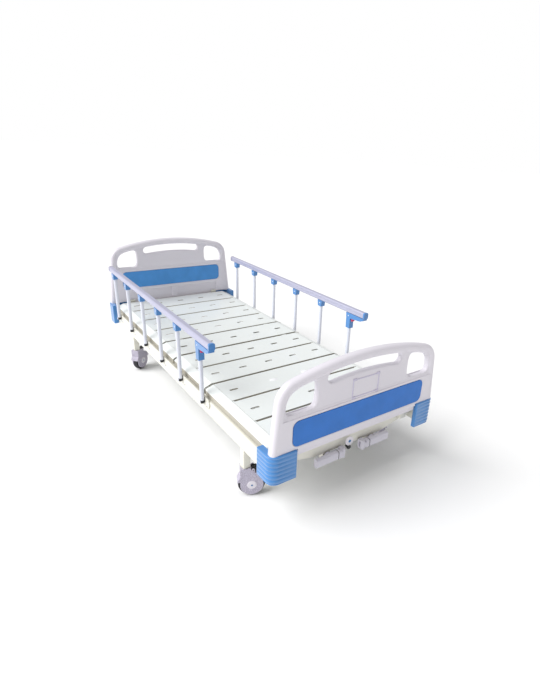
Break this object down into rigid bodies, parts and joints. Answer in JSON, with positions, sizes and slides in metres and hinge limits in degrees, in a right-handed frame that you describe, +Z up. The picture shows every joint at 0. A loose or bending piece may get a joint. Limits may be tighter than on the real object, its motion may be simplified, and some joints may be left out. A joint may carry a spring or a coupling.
{
  "type": "adjustable hospital bed",
  "caption": "Two-crank hospital bed with a folding four-section slatted deck, moulded end boards, folding side rails and braked swivel casters.",
  "frame": {"origin": "on the floor under the middle of the bed", "axes": "+Y towards the head end, +X to the right as seen from the foot end, +Z up"},
  "size_m": [0.95, 2.23, 0.823],
  "materials": {
    "frame_paint": "ivory powder coat, satin",
    "deck_paint": "white powder coat, satin",
    "abs_shell": "pale lavender grey moulded ABS, satin",
    "blue_plastic": "moulded blue plastic, satin",
    "blue_inlay": "blue panel, fine texture",
    "rail_aluminium": "anodised, satin",
    "bright_steel": "zinc plated",
    "gear_paint": "grey powder coat",
    "red_plastic": "moulded red plastic",
    "caster_plastic": "grey moulded nylon, satin",
    "caster_tyre": "dark polyurethane tyre",
    "black_plastic": "black moulded nylon",
    "crank_plastic": "light grey moulded plastic",
    "clear_plastic": "pale card holder moulding"
  },
  "bodies": {
    "base": {"side_beams": "frame_paint", "cross_members": "frame_paint", "legs": "frame_paint", "head_board": "abs_shell", "foot_board": "abs_shell", "board_inlays": "blue_inlay", "card_holder": "clear_plastic", "corner_bumpers": "blue_plastic", "rail_base_bars": "frame_paint", "seat_deck": "deck_paint", "deck_hinge_pins": "bright_steel", "mounting_blocks": "frame_paint"},
    "left_upright_1": {"left_upright_1": "rail_aluminium"},
    "left_upright_2": {"left_upright_2": "rail_aluminium"},
    "left_upright_3": {"left_upright_3": "rail_aluminium"},
    "left_upright_4": {"left_upright_4": "rail_aluminium"},
    "left_upright_5": {"left_upright_5": "rail_aluminium"},
    "left_upright_6": {"left_upright_6": "rail_aluminium"},
    "left_top_rail": {"left_top_bar": "rail_aluminium", "left_connectors": "blue_plastic", "left_handle": "blue_plastic"},
    "left_release": {"left_release_button": "red_plastic"},
    "right_upright_1": {"right_upright_1": "rail_aluminium"},
    "right_upright_2": {"right_upright_2": "rail_aluminium"},
    "right_upright_3": {"right_upright_3": "rail_aluminium"},
    "right_upright_4": {"right_upright_4": "rail_aluminium"},
    "right_upright_5": {"right_upright_5": "rail_aluminium"},
    "right_upright_6": {"right_upright_6": "rail_aluminium"},
    "right_top_rail": {"right_top_bar": "rail_aluminium", "right_connectors": "blue_plastic", "right_handle": "blue_plastic"},
    "right_release": {"right_release_button": "red_plastic"},
    "foot_left_swivel": {"foot_left_caster": "caster_plastic"},
    "foot_left_roller": {"foot_left_wheel": "caster_tyre"},
    "foot_left_brake": {"foot_left_brake_pedal": "black_plastic"},
    "foot_right_swivel": {"foot_right_caster": "caster_plastic"},
    "foot_right_roller": {"foot_right_wheel": "caster_tyre"},
    "foot_right_brake": {"foot_right_brake_pedal": "black_plastic"},
    "head_left_swivel": {"head_left_caster": "caster_plastic"},
    "head_left_roller": {"head_left_wheel": "caster_tyre"},
    "head_left_brake": {"head_left_brake_pedal": "black_plastic"},
    "head_right_swivel": {"head_right_caster": "caster_plastic"},
    "head_right_roller": {"head_right_wheel": "caster_tyre"},
    "head_right_brake": {"head_right_brake_pedal": "black_plastic"},
    "back_section": {"back_frame": "deck_paint", "back_slats": "deck_paint"},
    "thigh_section": {"thigh_frame": "deck_paint", "thigh_slats": "deck_paint"},
    "calf_section": {"calf_frame": "deck_paint", "calf_slats": "deck_paint"},
    "back_lift": {"back_lift_shaft": "gear_paint"},
    "leg_lift": {"leg_lift_shaft": "gear_paint"},
    "back_push": {"back_push_tube": "gear_paint"},
    "leg_push": {"leg_push_tube": "gear_paint"},
    "back_crank": {"back_screw": "bright_steel", "back_crank_arm": "crank_plastic"},
    "leg_crank": {"leg_screw": "bright_steel", "leg_crank_arm": "crank_plastic"},
    "back_grip": {"back_crank_grip": "crank_plastic"},
    "leg_grip": {"leg_crank_grip": "crank_plastic"}
  },
  "joints": [
    {"name": "left_upright_1_fold", "type": "hinge", "parent": "base", "child": "left_upright_1", "pos_m": [-0.46, 0.914, 0.319], "axis": [1, 0, 0], "range_deg": [0, 80]},
    {"name": "left_upright_2_fold", "type": "hinge", "parent": "base", "child": "left_upright_2", "pos_m": [-0.46, 0.6395, 0.319], "axis": [1, 0, 0], "range_deg": [0, 80]},
    {"name": "left_upright_3_fold", "type": "hinge", "parent": "base", "child": "left_upright_3", "pos_m": [-0.46, 0.365, 0.319], "axis": [1, 0, 0], "range_deg": [0, 80]},
    {"name": "left_rail_fold", "type": "hinge", "parent": "base", "child": "left_upright_4", "pos_m": [-0.46, 0.0905, 0.319], "axis": [1, 0, 0], "range_deg": [0, 80]},
    {"name": "left_upright_5_fold", "type": "hinge", "parent": "base", "child": "left_upright_5", "pos_m": [-0.46, -0.184, 0.319], "axis": [1, 0, 0], "range_deg": [0, 80]},
    {"name": "left_upright_6_fold", "type": "hinge", "parent": "base", "child": "left_upright_6", "pos_m": [-0.46, -0.4585, 0.319], "axis": [1, 0, 0], "range_deg": [0, 80]},
    {"name": "left_top_rail_level", "type": "hinge", "parent": "left_upright_4", "child": "left_top_rail", "pos_m": [-0.46, 0.0905, 0.619], "axis": [1, 0, 0], "range_deg": [-80, 0]},
    {"name": "left_release_press", "type": "slide", "parent": "left_top_rail", "child": "left_release", "axis": [0, 1, 0], "range_m": [0, 0.003], "stiffness_N_per_m": 400, "springref_m": -0.001},
    {"name": "right_upright_1_fold", "type": "hinge", "parent": "base", "child": "right_upright_1", "pos_m": [0.46, 0.914, 0.319], "axis": [1, 0, 0], "range_deg": [0, 80]},
    {"name": "right_upright_2_fold", "type": "hinge", "parent": "base", "child": "right_upright_2", "pos_m": [0.46, 0.6395, 0.319], "axis": [1, 0, 0], "range_deg": [0, 80]},
    {"name": "right_upright_3_fold", "type": "hinge", "parent": "base", "child": "right_upright_3", "pos_m": [0.46, 0.365, 0.319], "axis": [1, 0, 0], "range_deg": [0, 80]},
    {"name": "right_rail_fold", "type": "hinge", "parent": "base", "child": "right_upright_4", "pos_m": [0.46, 0.0905, 0.319], "axis": [1, 0, 0], "range_deg": [0, 80]},
    {"name": "right_upright_5_fold", "type": "hinge", "parent": "base", "child": "right_upright_5", "pos_m": [0.46, -0.184, 0.319], "axis": [1, 0, 0], "range_deg": [0, 80]},
    {"name": "right_upright_6_fold", "type": "hinge", "parent": "base", "child": "right_upright_6", "pos_m": [0.46, -0.4585, 0.319], "axis": [1, 0, 0], "range_deg": [0, 80]},
    {"name": "right_top_rail_level", "type": "hinge", "parent": "right_upright_4", "child": "right_top_rail", "pos_m": [0.46, 0.0905, 0.619], "axis": [1, 0, 0], "range_deg": [-80, 0]},
    {"name": "right_release_press", "type": "slide", "parent": "right_top_rail", "child": "right_release", "axis": [0, 1, 0], "range_m": [0, 0.003], "stiffness_N_per_m": 400, "springref_m": -0.001},
    {"name": "foot_left_swivel_turn", "type": "hinge", "parent": "base", "child": "foot_left_swivel", "pos_m": [-0.424, -0.822, 0.15], "axis": [0, 0, 1], "continuous": true},
    {"name": "foot_left_wheel_spin", "type": "hinge", "parent": "foot_left_swivel", "child": "foot_left_roller", "pos_m": [-0.39862, -0.83383, 0.0625], "axis": [0.4226, 0.9063, 0], "continuous": true},
    {"name": "foot_left_brake_press", "type": "hinge", "parent": "foot_left_swivel", "child": "foot_left_brake", "pos_m": [-0.39319, -0.83637, 0.142], "axis": [0.4226, 0.9063, 0], "range_deg": [0, 12]},
    {"name": "foot_right_swivel_turn", "type": "hinge", "parent": "base", "child": "foot_right_swivel", "pos_m": [0.424, -0.822, 0.15], "axis": [0, 0, 1], "continuous": true},
    {"name": "foot_right_wheel_spin", "type": "hinge", "parent": "foot_right_swivel", "child": "foot_right_roller", "pos_m": [0.39769, -0.81242, 0.0625], "axis": [-0.342, -0.9397, 0], "continuous": true},
    {"name": "foot_right_brake_press", "type": "hinge", "parent": "foot_right_swivel", "child": "foot_right_brake", "pos_m": [0.39205, -0.81037, 0.142], "axis": [-0.342, -0.9397, 0], "range_deg": [0, 12]},
    {"name": "head_left_swivel_turn", "type": "hinge", "parent": "base", "child": "head_left_swivel", "pos_m": [-0.424, 0.708, 0.15], "axis": [0, 0, 1], "continuous": true},
    {"name": "head_left_wheel_spin", "type": "hinge", "parent": "head_left_swivel", "child": "head_left_roller", "pos_m": [-0.40255, 0.726, 0.0625], "axis": [-0.6428, 0.766, 0], "continuous": true},
    {"name": "head_left_brake_press", "type": "hinge", "parent": "head_left_swivel", "child": "head_left_brake", "pos_m": [-0.39795, 0.72986, 0.142], "axis": [-0.6428, 0.766, 0], "range_deg": [0, 12]},
    {"name": "head_right_swivel_turn", "type": "hinge", "parent": "base", "child": "head_right_swivel", "pos_m": [0.424, 0.708, 0.15], "axis": [0, 0, 1], "continuous": true},
    {"name": "head_right_wheel_spin", "type": "hinge", "parent": "head_right_swivel", "child": "head_right_roller", "pos_m": [0.39769, 0.69842, 0.0625], "axis": [0.342, -0.9397, 0], "continuous": true},
    {"name": "head_right_brake_press", "type": "hinge", "parent": "head_right_swivel", "child": "head_right_brake", "pos_m": [0.39205, 0.69637, 0.142], "axis": [0.342, -0.9397, 0], "range_deg": [0, 12]},
    {"name": "back_raise", "type": "hinge", "parent": "base", "child": "back_section", "pos_m": [0, 0.208, 0.369], "axis": [1, 0, 0], "range_deg": [0, 75]},
    {"name": "thigh_raise", "type": "hinge", "parent": "base", "child": "thigh_section", "pos_m": [0, -0.0175, 0.369], "axis": [-1, 0, 0], "range_deg": [0, 40]},
    {"name": "calf_fold", "type": "hinge", "parent": "thigh_section", "child": "calf_section", "pos_m": [0, -0.423, 0.338], "axis": [1, 0, 0], "range_deg": [0, 66.21]},
    {"name": "back_lift_turn", "type": "hinge", "parent": "base", "child": "back_lift", "pos_m": [0, 0.208, 0.306], "axis": [1, 0, 0], "range_deg": [0, 66.9]},
    {"name": "leg_lift_turn", "type": "hinge", "parent": "base", "child": "leg_lift", "pos_m": [0, -0.0175, 0.306], "axis": [-1, 0, 0], "range_deg": [0, 37.2]},
    {"name": "back_push_slide", "type": "slide", "parent": "base", "child": "back_push", "axis": [0, 1, 0], "range_m": [0, 0.09783]},
    {"name": "leg_push_slide", "type": "slide", "parent": "base", "child": "leg_push", "axis": [0, -1, 0], "range_m": [0, 0.04989]},
    {"name": "back_crank_turn", "type": "hinge", "parent": "base", "child": "back_crank", "pos_m": [-0.132, -1.035, 0.232], "axis": [0, 1, 0], "continuous": true},
    {"name": "leg_crank_turn", "type": "hinge", "parent": "base", "child": "leg_crank", "pos_m": [0.132, -1.035, 0.232], "axis": [0, 1, 0], "continuous": true},
    {"name": "back_grip_fold", "type": "hinge", "parent": "back_crank", "child": "back_grip", "pos_m": [-0.06, -1.064, 0.232], "axis": [0, 0, 1], "range_deg": [0, 90]},
    {"name": "leg_grip_fold", "type": "hinge", "parent": "leg_crank", "child": "leg_grip", "pos_m": [0.06, -1.064, 0.232], "axis": [0, 0, -1], "range_deg": [0, 90]}
  ],
  "couplings": [
    {"joint": "left_upright_1_fold", "follows": "left_rail_fold", "ratio": 1},
    {"joint": "left_upright_2_fold", "follows": "left_rail_fold", "ratio": 1},
    {"joint": "left_upright_3_fold", "follows": "left_rail_fold", "ratio": 1},
    {"joint": "left_upright_5_fold", "follows": "left_rail_fold", "ratio": 1},
    {"joint": "left_upright_6_fold", "follows": "left_rail_fold", "ratio": 1},
    {"joint": "left_top_rail_level", "follows": "left_rail_fold", "ratio": -1},
    {"joint": "right_upright_1_fold", "follows": "right_rail_fold", "ratio": 1},
    {"joint": "right_upright_2_fold", "follows": "right_rail_fold", "ratio": 1},
    {"joint": "right_upright_3_fold", "follows": "right_rail_fold", "ratio": 1},
    {"joint": "right_upright_5_fold", "follows": "right_rail_fold", "ratio": 1},
    {"joint": "right_upright_6_fold", "follows": "right_rail_fold", "ratio": 1},
    {"joint": "right_top_rail_level", "follows": "right_rail_fold", "ratio": -1},
    {"joint": "calf_fold", "follows": "thigh_raise", "ratio": 1.655},
    {"joint": "back_lift_turn", "follows": "back_raise", "ratio": 0.89172},
    {"joint": "leg_lift_turn", "follows": "thigh_raise", "ratio": 0.92962},
    {"joint": "back_push_slide", "follows": "back_raise", "m_per_rad": 0.074663},
    {"joint": "leg_push_slide", "follows": "thigh_raise", "m_per_rad": 0.071312},
    {"joint": "back_crank_turn", "follows": "back_raise", "ratio": 93.825},
    {"joint": "leg_crank_turn", "follows": "thigh_raise", "ratio": -89.614}
  ]
}
